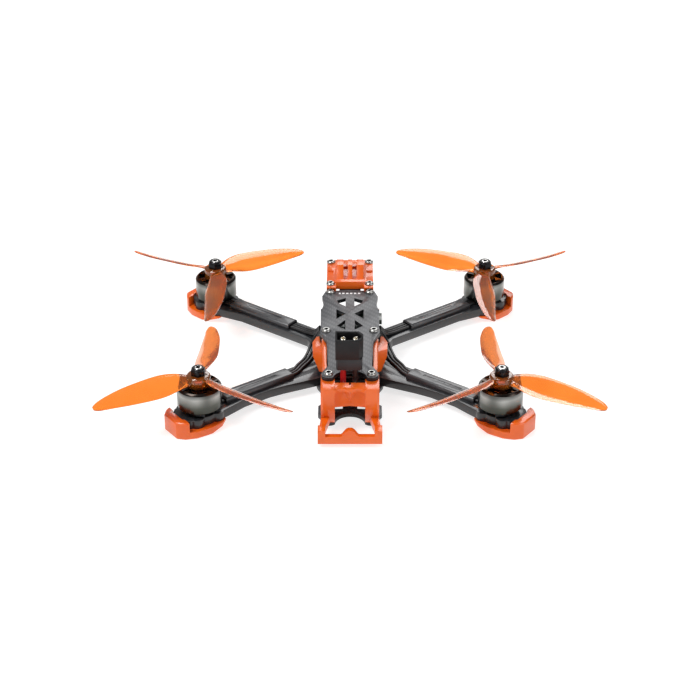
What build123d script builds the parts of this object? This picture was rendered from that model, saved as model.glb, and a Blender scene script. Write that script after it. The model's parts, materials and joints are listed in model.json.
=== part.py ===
from build123d import *
import os
from math import atan2, cos, degrees, hypot, pi, radians, sin, sqrt, tan

# FPV racing drone, 225 mm class, wide-X frame, 5.1 inch three-bladed propellers.
# Millimetres. Origin on the ground midway between the four motors, +X right, +Y nose, +Z up.

os.makedirs("parts", exist_ok=True)

# ---------------------------------------------------------------- driving dimensions
WHEELBASE = 225.0                      # motor to motor, across the diagonal
MOTOR_X = 88.5
MOTOR_Y = sqrt((WHEELBASE / 2) ** 2 - MOTOR_X ** 2)

CARBON_BOTTOM = 2.5                    # thickness of the bottom plate
CARBON_ARM = 5.5
CARBON_MID = 2.0
CARBON_TOP = 2.5
STANDOFF = 20.0                        # mid plate to top plate

Z_BOTTOM = 2.5                         # underside of the bottom plate, above the ground
Z_ARM = Z_BOTTOM + CARBON_BOTTOM
Z_MID = Z_ARM + CARBON_ARM             # top of the arms
Z_DECK = Z_MID + CARBON_MID            # where the standoffs start
Z_TOP = Z_DECK + STANDOFF              # underside of the top plate
Z_ROOF = Z_TOP + CARBON_TOP

ARM_ROOT_Y = 3.0                       # where an arm's axis crosses the middle of the body
ARM_HALF = 7.0                         # half width of an arm
SEAM = 0.15                            # half of the gap between arm roots
COVER_HALF = 4.7                       # half width of a wire cover
COVER_HIGH = 3.5
COVER_FROM, COVER_TO = 46.0, 95.0      # along the arm, from its root point

M3_R, M3_CLEAR, M3_HEAD_R, M3_HEAD_H = 1.5, 1.6, 2.75, 1.65
THREAD_GAP = 0.05
SOCKET_R, SOCKET_DEEP = 1.35, 1.1      # hexagon socket in a screw head

TOP_REAR = (12.5, -71.0)               # top plate screws
TOP_MIDDLE = (14.5, -19.0)
TOP_FRONT = (12.4, 31.8)
NOSE_X = 12.4                          # the two aluminium plates at the nose
NOSE_THICK = 5.0
NOSE_NEAR_Y, NOSE_FAR_Y = 37.5, 68.5   # action-camera mount screws
SPACER_Y = (40.0, 66.0)                # screws up into the nose plates
PLATE_FRONT_Y = 34.2

STACK_Y, STACK_HALF = 4.0, 15.25       # 30.5 mm electronics stack
ESC_Z, FC_Z, ESC_EDGE = 17.0, 24.0, 19.0
ARM_SCREW = (7.5, 7.5)

MOTOR_HOLE_R = 8.0                     # 16 mm circle of four M3
BELL_R, BELL_WALL = 13.25, 1.0
BELL_LOW, BELL_HIGH = 14.0, 27.5
SHAFT_R, BEARING_R, BEARING_H = 2.0, 4.5, 3.0
STUB_R, STUB_TOP = 2.45, 38.9
HUB_R, HUB_TOP = 7.1, 34.0
NUT_FLATS = 8.0
MAGNETS, TEETH = 14, 12

WIRE_D, WIRE_PITCH = 1.8, 2.1
LEAD_D, LEAD_X = 3.4, 3.6
XT_BASE = (-0.4, -72.0, 41.3)          # foot of the battery connector
XT_LEAN = 17.0                         # degrees towards the rear

CAMERA_Y, CAMERA_Z, CAMERA_HALF = 67.0, 26.2, 7.0
CAMERA_SCREW_DEEP = 1.6                # counterbore for a camera screw's head
TRIPOD_BORE_R, TRIPOD_Y, TRIPOD_Z = 2.6, 54.0, 41.0

CORNERS = {"front_left": (-1, 1), "front_right": (1, 1), "rear_left": (-1, -1), "rear_right": (1, -1)}
# Direction in which the first blade points, and +1 where the rotor turns counter-clockwise from above.
ROTORS = {"front_left": (29.4, 1), "front_right": (30.6, -1), "rear_left": (88.6, -1), "rear_right": (91.4, 1)}

AXIS_LENGTH = hypot(MOTOR_X, MOTOR_Y - ARM_ROOT_Y)
AXIS_ANGLE = degrees(atan2(MOTOR_Y - ARM_ROOT_Y, MOTOR_X))


# ---------------------------------------------------------------- helpers
def slab(points, z0, z1):
    """A flat plate with straight edges through the points."""
    return Pos(0, 0, z0) * extrude(Polygon(*points, align=None), amount=z1 - z0, dir=(0, 0, 1))


def bar_along(axis, points, start, length):
    """A bar along +x or +y whose section has the points: (y, z) for x, (x, z) for y."""
    if axis == "x":
        return Pos(start, 0, 0) * extrude(Plane.YZ * Polygon(*points, align=None), amount=length, dir=(1, 0, 0))
    return Pos(0, start, 0) * extrude(Plane.XZ * Polygon(*points, align=None), amount=length, dir=(0, 1, 0))


def disc(r, z0, z1, x=0.0, y=0.0):
    return Pos(x, y, z0) * Cylinder(r, z1 - z0, align=(Align.CENTER, Align.CENTER, Align.MIN))


def block(x0, x1, y0, y1, z0, z1):
    return Pos(x0, y0, z0) * Box(x1 - x0, y1 - y0, z1 - z0, align=(Align.MIN, Align.MIN, Align.MIN))


def hexagon(half_flats, high):
    """A hexagonal bar standing on the origin."""
    return extrude(RegularPolygon(half_flats, 6, major_radius=False), amount=high, dir=(0, 0, 1))


def rod(r, start, end):
    """A round bar between two points."""
    a, b = Vector(*start), Vector(*end)
    plane = Plane(origin=a, z_dir=b - a)
    return plane * Cylinder(r, (b - a).length, align=(Align.CENTER, Align.CENTER, Align.MIN))


def both(shape):
    """The shape and its mirror image in x."""
    return [shape, mirror(shape, about=Plane.YZ)]


def total(shapes):
    result = shapes[0]
    for shape in shapes[1:]:
        result = result + shape
    return result


def minus(shape, cuts):
    for cut in cuts:
        shape = shape - cut
    return shape


def soften(shape, edges, size):
    """Chamfer the edges, where the kernel can."""
    try:
        return chamfer(edges, size)
    except Exception:
        return shape


def save(name, shapes):
    shapes = shapes if isinstance(shapes, list) else [shapes]
    solids = [solid for shape in shapes for solid in shape.solids()]
    export_step(solids[0] if len(solids) == 1 else Compound(children=solids), f"parts/{name}.step")


def local(sx, sy):
    """The frame of an arm: x along it from its root point, y to its left, z up from the ground."""
    angle = AXIS_ANGLE if sx * sy > 0 else -AXIS_ANGLE
    if sx < 0:
        angle += 180
    return Location((0, sy * ARM_ROOT_Y, 0), (0, 0, angle))


def front_right(u, v):
    """Front right arm coordinates to the drone's."""
    a = radians(AXIS_ANGLE)
    return (u * cos(a) - v * sin(a), ARM_ROOT_Y + u * sin(a) + v * cos(a))


def place(shape, sx, sy):
    """A shape made for the front right corner, at another corner."""
    if sx < 0:
        shape = mirror(shape, about=Plane.YZ)
    if sy < 0:
        shape = mirror(shape, about=Plane.XZ)
    return shape


def smooth_path(points):
    """Straight runs joined by arcs, each as large as its two runs allow, and its radii."""
    radii = []
    for a, b, c in zip(points, points[1:], points[2:]):
        before, after = Vector(*b) - Vector(*a), Vector(*c) - Vector(*b)
        half_turn = radians(before.get_angle(after)) / 2
        radii.append(0.45 * min(before.length, after.length) / tan(half_turn))
    return FilletPolyline(*points, radius=radii), radii


def tube(points, diameter):
    path, radii = smooth_path(points)
    start = Plane(origin=points[0], z_dir=Vector(*points[1]) - Vector(*points[0]))
    return sweep(start * Circle(diameter / 2), path=path), radii, path.length


# ---------------------------------------------------------------- screws
def button_screw(top, length, r=M3_R, head_r=M3_HEAD_R, head_h=M3_HEAD_H):
    """A button-head screw at the origin: head from z = top upwards, shank below it."""
    head = disc(head_r, top, top + head_h)
    head = soften(head, head.faces().sort_by(Axis.Z)[-1].edges(), 0.75)
    socket = Pos(0, 0, top + head_h - SOCKET_DEEP) * extrude(RegularPolygon(SOCKET_R, 6), amount=SOCKET_DEEP, dir=(0, 0, 1))
    return head - socket + disc(r, top - length, top)


def upside_down(shape):
    return Rot(180, 0, 0) * shape


def save_screws():
    roof = [(x, y, Z_ROOF, CARBON_TOP + 6) for x, y in (TOP_REAR, TOP_MIDDLE, TOP_FRONT)]
    nose = [(NOSE_X, y, MOUNT_TOP, MOUNT_BASE + 6) for y in (NOSE_NEAR_Y, NOSE_FAR_Y)]
    tops = [Pos(x, y, 0) * button_screw(z, length) for x, y, z, length in roof + nose]
    save("top_screws", [half for screw in tops for half in both(screw)])
    low = [(TOP_MIDDLE, Z_DECK - Z_BOTTOM + 6), (TOP_REAR, CARBON_BOTTOM + 6)]
    low += [((NOSE_X, y), Z_DECK - Z_BOTTOM + 6) for y in SPACER_Y]
    bottoms = [Pos(x, y, 0) * upside_down(button_screw(-Z_BOTTOM, length)) for (x, y), length in low]
    save("bottom_screws", [half for screw in bottoms for half in both(screw)])


# ---------------------------------------------------------------- carbon plates
def round_holes(places, z0, z1, r=M3_CLEAR):
    return [disc(r, z0, z1, s * x, y) for x, y in places for s in (-1, 1)]


def mirrored(points):
    """An outline from its right half, given from nose to tail."""
    return points + [(-x, y) for x, y in reversed(points)]


STACK_HOLES = [(STACK_HALF, STACK_Y + STACK_HALF), (STACK_HALF, STACK_Y - STACK_HALF)]
ARM_HOLES = [ARM_SCREW, (ARM_SCREW[0], -ARM_SCREW[1])]
SPACER_HOLES = [(NOSE_X, y) for y in SPACER_Y]


def top_plate():
    right = [(15.2, PLATE_FRONT_Y), (17.7, 26.3), (16.5, 16.2), (18.2, 4.1), (17.9, -15.1), (18.5, -19.8)]
    right += [(14.1, -31.7), (13.0, -61.5), (16.0, -68.0), (12.5, -71.0)]
    plate = slab(mirrored(right), Z_TOP, Z_ROOF)
    ear_r = 4.3
    plate = total([plate] + both(disc(ear_r, Z_TOP, Z_ROOF, *TOP_REAR)))
    bay_depth, bay_half = 4.2, 8.3
    bay_r = (bay_half ** 2 + bay_depth ** 2) / (2 * bay_depth)
    plate -= disc(bay_r, Z_TOP, Z_ROOF, 0, TOP_REAR[1] + bay_depth - bay_r)
    windows = [
        [(8.2, 20.7), (2.8, 24.0), (2.7, 12.9), (7.2, 17.3)],
        [(8.5, 9.0), (2.7, 3.1), (8.4, -3.4)],
        [(3.0, -5.0), (2.9, -17.2), (8.0, -12.5)],
    ]
    cuts = [half for window in windows for half in both(slab(window, Z_TOP, Z_ROOF))]
    return minus(plate, cuts + round_holes([TOP_REAR, TOP_MIDDLE, TOP_FRONT], Z_TOP, Z_ROOF))


def bottom_plate():
    right = [(7.0, 69.0), (16.5, 69.0), (17.2, 60.0), (15.8, 48.0), (17.2, 36.0), (20.5, 27.0), (23.5, 14.0)]
    right += [(23.5, -14.0), (20.0, -34.0), (15.5, -44.0), (15.5, -54.0), (19.0, -57.5), (19.0, -67.0)]
    right += [(16.5, -71.0), (12.5, -71.0)]
    z0, z1 = Z_BOTTOM, Z_ARM
    plate = slab(mirrored(right), z0, z1)
    plate = total([plate] + both(disc(5.0, z0, z1, *TOP_REAR)) + both(disc(4.6, z0, z1, *SPACER_HOLES[1])))
    bay_depth, bay_half = 5.0, 8.0
    bay_r = (bay_half ** 2 + bay_depth ** 2) / (2 * bay_depth)
    cuts = [disc(bay_r, z0, z1, 0, TOP_REAR[1] + bay_depth - bay_r)]
    cuts += [slab([(-7.0, 70.0), (7.0, 70.0), (4.5, 56.0), (-4.5, 56.0)], z0, z1)]
    cuts += both(slab([(4.4, -50.5), (10.5, -47.5), (12.0, -57.0), (9.0, -61.0), (4.4, -60.6)], z0, z1))
    cuts += both(slab([(3.0, 30.0), (9.5, 30.0), (9.0, 46.0), (3.0, 50.0)], z0, z1))
    cuts += round_holes([TOP_MIDDLE, TOP_REAR] + SPACER_HOLES + STACK_HOLES + ARM_HOLES, z0, z1)
    return minus(plate, cuts)


def mid_plate():
    right = [(7.5, 71.0), (15.6, 71.0), (15.6, 34.0), (18.6, 26.0), (19.6, 12.0), (19.6, -12.0), (18.6, -26.0)]
    right += [(13.0, -40.0)]
    plate = slab(mirrored(right), Z_MID, Z_DECK)
    cuts = [slab([(-7.5, 72.0), (7.5, 72.0), (8.6, 56.0), (7.0, 53.0), (-7.0, 53.0), (-8.6, 56.0)], Z_MID, Z_DECK)]
    cuts += [slab([(-7.0, 28.0), (7.0, 28.0), (8.6, 34.0), (7.5, 46.0), (-7.5, 46.0), (-8.6, 34.0)], Z_MID, Z_DECK)]
    cuts += round_holes([TOP_MIDDLE] + SPACER_HOLES + STACK_HOLES + ARM_HOLES, Z_MID, Z_DECK)
    return minus(plate, cuts)


# ---------------------------------------------------------------- arms and what lies on them
PAD_R, LOBE_R, LOBE_OUT = 10.6, 4.7, 9.6


def arm_edges(rear):
    """Points of the front right arm's outline, root first; a rear arm is deeper at its root."""
    inner = [(SEAM, SEAM), (23.6, SEAM)]
    curve = ThreePointArc(inner[1], (24.7, 7.4), front_right(29.0, -ARM_HALF))
    if rear:
        outer = [front_right(66.0, ARM_HALF), (40.0, 43.6), (20.0, 34.5), (9.0, 26.0), (SEAM, 22.0)]
    else:
        outer = [(21.5, 27.9), (9.0, 21.0), (SEAM, 18.0)]
    return inner, curve, outer


def arm_shape(rear):
    """The arm seen from above, as a solid from its underside to its top."""
    inner, curve, outer = arm_edges(rear)
    near, far = front_right(29.0, -ARM_HALF), front_right(AXIS_LENGTH, -ARM_HALF)
    back = front_right(AXIS_LENGTH, ARM_HALF)
    rim = [Line(inner[0], inner[1]), curve, Line(near, far), Line(far, back)]
    rim += [Polyline(back, *outer), Line(outer[-1], inner[0])]
    edges = [edge for piece in rim for edge in piece.edges()]
    solid = Pos(0, 0, Z_ARM) * extrude(make_face(edges), amount=CARBON_ARM, dir=(0, 0, 1))
    here = Location(front_right(AXIS_LENGTH, 0) + (0,), (0, 0, AXIS_ANGLE))
    return solid + here * pad(0.0, Z_ARM, Z_MID)


def pad(grow, z0, z1):
    """The pad under the motor, centred on it, with a lobe at each motor screw and its flare into the arm."""
    flare = [(-27.0, ARM_HALF), (-13.0, ARM_HALF + 2.6), (-4.0, ARM_HALF + 3.3)]
    shape = slab([(x, y + grow) for x, y in flare] + [(x, -y - grow) for x, y in reversed(flare)], z0, z1)
    shape += disc(PAD_R + grow, z0, z1)
    nose = [(0.0, 10.0 + grow), (12.2, 8.8 + grow), (15.6 + grow, 5.4 + grow)]
    shape += slab(nose + [(x, -y) for x, y in reversed(nose)], z0, z1)
    for k in range(4):
        a = radians(45 + 90 * k)
        shape += disc(LOBE_R + grow, z0, z1, LOBE_OUT * cos(a), LOBE_OUT * sin(a))
    return shape


def motor_screw_places():
    for k in range(4):
        a = radians(AXIS_ANGLE + 45 + 90 * k)
        yield MOTOR_X + MOTOR_HOLE_R * cos(a), MOTOR_Y + MOTOR_HOLE_R * sin(a)


def arm(rear):
    shape = arm_shape(rear)
    holes = [STACK_HOLES[0] if not rear else (STACK_HOLES[1][0], -STACK_HOLES[1][1]), ARM_SCREW]
    if rear:
        holes.append((TOP_MIDDLE[0], -TOP_MIDDLE[1]))
    cuts = [disc(M3_CLEAR, Z_ARM, Z_MID, *hole) for hole in holes]
    cuts += [disc(M3_CLEAR, Z_ARM, Z_MID, *hole) for hole in motor_screw_places()]
    cuts.append(disc(3.6, Z_ARM, Z_MID, MOTOR_X, MOTOR_Y))
    return minus(shape, cuts)


def wire_cover():
    """A channel that lies on the arm over its three wires, with a raised middle."""
    wall, lip = 1.1, 0.9
    high = Z_MID + COVER_HIGH
    body = block(COVER_FROM, COVER_TO, -COVER_HALF, COVER_HALF, Z_MID, high)
    body = soften(body, body.faces().sort_by(Axis.Z)[-1].edges(), 0.8)
    channel = block(COVER_FROM, COVER_TO, -COVER_HALF + wall, COVER_HALF - wall, Z_MID, high - lip)
    groove = block(COVER_FROM + 10, COVER_TO - 12, -0.9, 0.9, high - 0.4, high)
    return Location((0, ARM_ROOT_Y, 0), (0, 0, AXIS_ANGLE)) * (body - channel - groove)


GUARD_TOP = Z_MID + 1.0
FOOT_SKIN = 2.0                        # soft plastic between the screw heads and the arm


def guard():
    """The bumper round the arm's end: a wall outside the pad and a foot below it."""
    half = [(20.8, 6.4), (17.2, 10.4), (10.8, 13.4), (1.0, 14.4), (-6.5, 13.6), (-11.0, 10.6)]
    outline = half + [(x, -y) for x, y in reversed(half)]
    body = slab(outline, 0, GUARD_TOP)
    body = soften(body, body.faces().sort_by(Axis.Z)[-1].edges(), 0.8)
    body = soften(body, body.faces().sort_by(Axis.Z)[0].edges(), 0.8)
    body -= bar_along("y", [(-12.0, -0.1), (-12.0, Z_ARM - 0.9), (4.0, -0.1)], -20, 40)
    for k in range(4):
        a = radians(45 + 90 * k)
        x, y = MOTOR_HOLE_R * cos(a), MOTOR_HOLE_R * sin(a)
        body -= disc(M3_CLEAR, 0, Z_ARM, x, y)
        body -= disc(M3_HEAD_R + 0.4, 0, Z_ARM - FOOT_SKIN, x, y)
    body -= disc(4.2, 0, Z_ARM, 0, 0)
    body -= block(-30, 14.6, -20, 20, Z_ARM, GUARD_TOP + 1.0)
    body -= pad(0.15, Z_ARM, GUARD_TOP + 1.0)
    return Location((MOTOR_X, MOTOR_Y, 0), (0, 0, AXIS_ANGLE)) * body


def save_arms():
    covers, guards = wire_cover(), guard()
    for name, (sx, sy) in CORNERS.items():
        save(f"arm_{name}", place(arm(sy < 0), sx, sy))
        save(f"wire_cover_{name}", place(covers, sx, sy))
        save(f"arm_guard_{name}", place(guards, sx, sy))
    head_z = Z_ARM - FOOT_SKIN
    one = upside_down(button_screw(-head_z, FOOT_SKIN + CARBON_ARM + 2.0))
    screws = [place(Pos(x, y, 0) * one, sx, sy) for sx, sy in CORNERS.values() for x, y in motor_screw_places()]
    save("motor_screws", screws)


def motor_wires():
    """Three wires from each motor, through the cover and along the body into the speed controller."""
    shapes = []
    for sx, sy in CORNERS.values():
        for k in (-1, 0, 1):
            z = Z_MID + WIRE_D / 2 + 0.15
            off = WIRE_PITCH * k
            points = [front_right(AXIS_LENGTH - 7.0, off) + (z,), front_right(42.0, off) + (z,)]
            if sy > 0:
                points.append((27.0 - 0.9 * k, 23.0 + 1.8 * k, z))
                points += [(22.3, 18.0 + 2.3 * k, z + 1.5), (ESC_EDGE, 15.5 + 2.3 * k, ESC_Z + 0.8)]
            else:
                inward = off + WIRE_PITCH
                bend = [(32.4, 19.5, -0.87, 0.50), (28.6, 13.1, -0.93, 0.36), (26.1, 3.5, -0.97, 0.20)]
                points += [(x + dx * inward, y + dy * inward, z) for x, y, dx, dy in bend]
                points.append((23.8 - 0.95 * inward, -6.0 + 0.3 * inward, z + 2.5))
                points.append((ESC_EDGE, -12.5 + 1.1 * inward, ESC_Z + 0.8))
            wire, _, _ = tube(points, WIRE_D)
            shapes.append(place(wire, sx, sy))
    return shapes


# ---------------------------------------------------------------- standoffs and nose
def standoffs():
    def post(x, y, z0, z1, r):
        return disc(r, z0, z1, x, y) - disc(M3_R + THREAD_GAP, z0, z1, x, y)

    posts = [post(*TOP_MIDDLE, Z_DECK, Z_TOP, 2.5), post(*TOP_REAR, Z_ARM, Z_TOP, 2.5)]
    posts += [post(x, y, Z_ARM, Z_MID, 3.0) for x, y in SPACER_HOLES]
    return [half for item in posts for half in both(item)]


def nose_plate():
    """The right-hand aluminium plate: it carries the top plate's front, the mount and the camera."""
    side = [(28.0, Z_TOP), (28.0, 24.0), (34.0, Z_DECK), (71.0, Z_DECK), (72.0, 16.0), (72.0, Z_ROOF)]
    side += [(34.8, Z_ROOF), (34.8, Z_TOP)]
    outer = NOSE_X + NOSE_THICK / 2
    plate = bar_along("x", side, NOSE_X - NOSE_THICK / 2, NOSE_THICK)
    window = [(42.5, 30.5), (36.5, 24.5), (42.5, 17.0), (55.0, 17.0), (60.5, 24.5), (55.0, 30.5)]
    cuts = [bar_along("x", window, outer - NOSE_THICK, NOSE_THICK)]
    cuts.append(rod(1.05, (outer - NOSE_THICK, CAMERA_Y, CAMERA_Z), (outer, CAMERA_Y, CAMERA_Z)))
    cuts.append(rod(2.2, (outer - CAMERA_SCREW_DEEP, CAMERA_Y, CAMERA_Z), (outer, CAMERA_Y, CAMERA_Z)))
    thread = M3_R + THREAD_GAP
    cuts.append(disc(thread, Z_TOP - 7, Z_TOP, *TOP_FRONT))
    cuts += [disc(thread, Z_ROOF - 7.5, Z_ROOF, NOSE_X, y) for y in (NOSE_NEAR_Y, NOSE_FAR_Y)]
    cuts += [disc(thread, Z_DECK, Z_DECK + 7, NOSE_X, y) for y in SPACER_Y]
    return minus(plate, cuts)


MOUNT_BASE = 2.9
MOUNT_TOP = Z_ROOF + MOUNT_BASE
FINGER_TOP = 45.6
FINGER_EDGES = ((-8.6, -4.2), (-1.4, 1.5), (4.3, 8.7))   # the three fingers, in x


def front_mount():
    """A soft plate on the nose with three fingers for an action-camera adapter."""
    half = [(14.9, 72.0), (14.9, 33.0), (9.0, 33.0), (8.6, 36.2)]
    base = slab(mirrored(half), Z_ROOF, MOUNT_TOP)
    lip = block(-9.4, 9.4, 36.2, 41.0, Z_ROOF, MOUNT_TOP + 2.4)
    lip = soften(lip, lip.edges().filter_by(Axis.X).sort_by(Axis.Z)[-1], 1.0)
    profile = [(41.0, MOUNT_TOP), (46.2, FINGER_TOP - 2.5), (49.5, FINGER_TOP), (57.5, FINGER_TOP)]
    profile += [(61.0, FINGER_TOP - 2.5), (66.0, MOUNT_TOP)]
    shape = base + lip
    for x0, x1 in FINGER_EDGES:
        shape += bar_along("x", profile, x0, x1 - x0)
    shape += block(-8.6, 8.7, 60.0, 66.0, Z_ROOF, MOUNT_TOP + 1.4)
    cuts = both(block(10.6, 14.9, 42.5, 57.0, MOUNT_TOP - 1.2, MOUNT_TOP))
    cuts += round_holes([(NOSE_X, NOSE_NEAR_Y), (NOSE_X, NOSE_FAR_Y)], Z_ROOF, MOUNT_TOP)
    cuts += [disc(M3_HEAD_R + 0.35, Z_ROOF, Z_ROOF + M3_HEAD_H + 0.3, s * TOP_FRONT[0], TOP_FRONT[1]) for s in (-1, 1)]
    cuts.append(rod(TRIPOD_BORE_R, (-8.7, TRIPOD_Y, TRIPOD_Z), (8.8, TRIPOD_Y, TRIPOD_Z)))
    return minus(shape, cuts)


# ---------------------------------------------------------------- soft printed pieces
def side_panel():
    """The right-hand panel between the middle and rear standoffs, with its bulge at the front."""
    z0, z1, shelf = Z_DECK + 0.2, Z_TOP, 27.0
    outer = [(17.2, -23.5), (17.2, -28.0), (16.3, -36.0), (16.2, -58.0), (15.2, -64.0)]
    inner = [(12.8, -64.0), (13.8, -56.0), (13.9, -36.0), (14.6, -28.0), (14.6, -23.5)]
    band = slab(outer + inner, z0, z1)
    band = soften(band, band.faces().sort_by(Axis.Z)[-1].edges().sort_by(Axis.X)[-2:], 0.8)
    shell = [(15.9, -23.5), (18.2, -18.5), (18.9, -11.5), (20.6, -12.0), (23.0, -19.0), (22.6, -27.5), (15.8, -31.5)]
    hollow = [(17.2, -24.0), (18.9, -19.5), (19.6, -20.0), (19.6, -28.0), (17.2, -29.4)]
    bulge = slab(shell, z0, shelf) - slab(hollow, z0, shelf - 1.5)
    low_edge = bar_along("y", [(23.6, 24.5), (23.6, z0 - 1.0), (18.6, z0 - 1.0)], -36.0, 26.0)
    return bulge - low_edge + band


BAR_Y0, BAR_Y1, BAR_Z0, BAR_Z1 = -96.5, -93.0, 3.0, 7.8
POST_X0, POST_X1 = 14.3, 18.7


def tail_mount():
    """Legs round the rear standoffs, a wall between them, and struts down to an antenna bar."""
    leg_side = [(-65.5, Z_ARM), (-65.5, Z_TOP), (-84.5, Z_TOP), (-84.5, 19.0), (-79.5, 9.0), (-76.0, Z_ARM)]
    leg = bar_along("x", leg_side, 8.9, 8.1)
    leg = soften(leg, leg.edges().filter_by(Axis.Z).sort_by(Axis.X)[-2:], 1.2)
    a = Plane.XZ.offset(76.5) * (Pos(13.8, 9.4) * Rectangle(5.4, 5.0))
    b = Plane.XZ.offset(93.0) * (Pos((POST_X0 + POST_X1) / 2, 8.4) * Rectangle(POST_X1 - POST_X0 - 1.2, 4.4))
    strut = loft([a, b], ruled=True)
    post = block(POST_X0, POST_X1, BAR_Y0, -90.0, BAR_Z0, 11.8)
    shapes = [half for item in (leg, strut, post) for half in both(item)]
    deck = slab([(-9.2, -75.6), (9.2, -75.6), (9.2, -84.5), (0, -83.4), (-9.2, -84.5)], Z_TOP - 2.6, Z_TOP - 0.6)
    for s in (-1, 1):
        deck -= disc(4.2, Z_TOP - 3.0, Z_TOP, s * 4.5, -86.6)
    wall = slab([(-9.2, -78.6), (9.2, -78.6), (9.2, -82.0), (0, -80.4), (-9.2, -82.0)], 19.0, Z_TOP - 1.0)
    crease = loft([Plane.XY.offset(22.0) * Polygon((-0.3, -80.0), (0.3, -80.0), (0, -80.8), align=None),
                   Plane.XY.offset(Z_TOP - 2.6) * Polygon((-7.0, -80.0), (7.0, -80.0), (0, -83.0), align=None)])
    wall += crease
    bar = block(-POST_X0 - 1, POST_X0 + 1, BAR_Y0, BAR_Y1, BAR_Z0, BAR_Z1)
    hump_side = [(-6.4, BAR_Z1 - 1.0), (-4.4, BAR_Z1 + 0.8), (-2.7, BAR_Z1 + 3.2), (-1.2, BAR_Z1 + 4.3)]
    hump_side += [(-x, z) for x, z in reversed(hump_side)]
    hump = bar_along("y", hump_side, BAR_Y0, BAR_Y1 - BAR_Y0)
    shape = total(shapes + [deck, wall, bar, hump])
    cuts = round_holes([TOP_REAR], Z_ARM, Z_TOP, r=2.6)
    cuts.append(block(-0.5, 0.5, -78.0, -75.6, Z_TOP - 3.0, Z_TOP))
    return minus(shape, cuts)


# ---------------------------------------------------------------- electronics
def board(z, parts, hole_r=2.0):
    """A square circuit board on the stack, with the components that stand on it."""
    half = 18.0
    plate = block(-half, half, STACK_Y - half, STACK_Y + half, z, z + 1.6)
    plate = minus(plate, round_holes(STACK_HOLES, z, z + 1.6, r=hole_r))
    return [plate] + [block(x0, x1, y0, y1, z + 1.6, z + 1.6 + h) for x0, x1, y0, y1, h in parts]


def save_electronics():
    transistors = []
    for sx in (-1, 1):
        for sy in (-1, 1):
            for k in range(3):
                x = sx * 12.6
                y = STACK_Y + sy * (3.0 + 3.4 * k)
                transistors.append((x - 2.2, x + 2.2, y - 1.4, y + 1.4, 1.0))
    save("esc_board", board(ESC_Z, transistors + [(-4, 4, STACK_Y - 4, STACK_Y + 4, 1.0)]))
    chips = [(-3.5, 3.5, STACK_Y - 3.5, STACK_Y + 3.5, 1.2), (-12, -7, STACK_Y - 2, STACK_Y + 3, 1.0)]
    chips += [(-8, 8, STACK_Y + 14, STACK_Y + 17.5, 3.0), (13.2, 19.9, 6.5, 15.4, 3.2)]
    save("flight_controller", board(FC_Z, chips))
    screws, grommets = [], []
    for x, y in STACK_HOLES:
        screw = upside_down(button_screw(-Z_BOTTOM, 27.5))
        nut = hexagon(2.75, 2.4)
        for z in (Z_DECK, FC_Z + 3.0):
            screw_nut = Pos(0, 0, z) * nut - disc(M3_R + THREAD_GAP, z, z + 2.4)
            screws.append(Pos(x, y, 0) * screw_nut)
        screws.append(Pos(x, y, 0) * screw)
        for z in (ESC_Z, FC_Z):
            ring = disc(3.2, z - 1.4, z + 3.0) - disc(1.6, z - 1.4, z + 3.0)
            waist = disc(3.3, z - 0.01, z + 1.61) - disc(1.95, z - 0.01, z + 1.61)
            grommets.append(Pos(x, y, 0) * (ring - waist))
    for x, y in ARM_HOLES:
        screw = upside_down(button_screw(-Z_BOTTOM, 12.4))
        nut = hexagon(2.75, 2.4)
        screws += [Pos(x, y, 0) * screw, Pos(x, y, Z_DECK) * nut - disc(M3_R + THREAD_GAP, Z_DECK, Z_DECK + 2.4, x, y)]
    save("stack_screws_and_nuts", [half for item in screws for half in both(item)])
    save("stack_grommets", [half for item in grommets for half in both(item)])
    can = rod(4.0, (0, -61.0, Z_ARM + 4.1), (0, -43.0, Z_ARM + 4.1))
    save("capacitor", can)
    save("video_transmitter", total([block(-12, 12, -48, -26, 22.0, 27.5), block(-9, 9, -46, -28, 27.5, 28.5)]))
    save("receiver", total([block(-5.5, 5.5, -63, -51, 27.5, 29.0), block(-3, 3, -60, -55, 29.0, 30.2)]))


# ---------------------------------------------------------------- motors, propellers, nuts
def motor_base():
    flange = disc(10.6, Z_MID, Z_MID + 2.0)
    for k in range(4):
        a = radians(90 * k)
        flange -= disc(3.4, Z_MID, Z_MID + 2.0, 11.6 * cos(a), 11.6 * sin(a))
    shape = flange + disc(5.5, Z_MID, 24.5)
    cuts = [disc(BEARING_R, Z_MID + 2.0, 24.5), disc(2.6, Z_MID, 24.5)]
    for k in range(4):
        a = radians(45 + 90 * k)
        x, y = MOTOR_HOLE_R * cos(a), MOTOR_HOLE_R * sin(a)
        cuts.append(disc(M3_R + THREAD_GAP, Z_MID, Z_MID + 2.0, x, y))
    cuts.append(block(-12, -5.6, -3.4, 3.4, Z_MID, Z_MID + 2.0))
    return minus(shape, cuts)


def stator():
    ring = disc(7.0, 15.2, 23.0)
    tips = disc(10.7, 15.2, 23.0) - disc(9.7, 15.2, 23.0)
    for k in range(TEETH):
        tooth = block(6.5, 10.2, -0.85, 0.85, 15.2, 23.0)
        ring += Rot(0, 0, 360 / TEETH * k) * tooth
        gap = block(9.0, 12.0, -0.5, 0.5, 15.2, 23.0)
        tips -= Rot(0, 0, 360 / TEETH * (k + 0.5)) * gap
    return ring + tips - disc(5.55, 15.2, 23.0)


def winding():
    ring = disc(9.6, 14.4, 24.2) - disc(7.1, 14.4, 24.2)
    return ring - stator()


def bearings():
    def bearing(z):
        return disc(BEARING_R - 0.02, z, z + BEARING_H) - disc(SHAFT_R + 0.05, z, z + BEARING_H)

    return [bearing(Z_MID + 2.1), bearing(24.5 - BEARING_H)]


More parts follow.
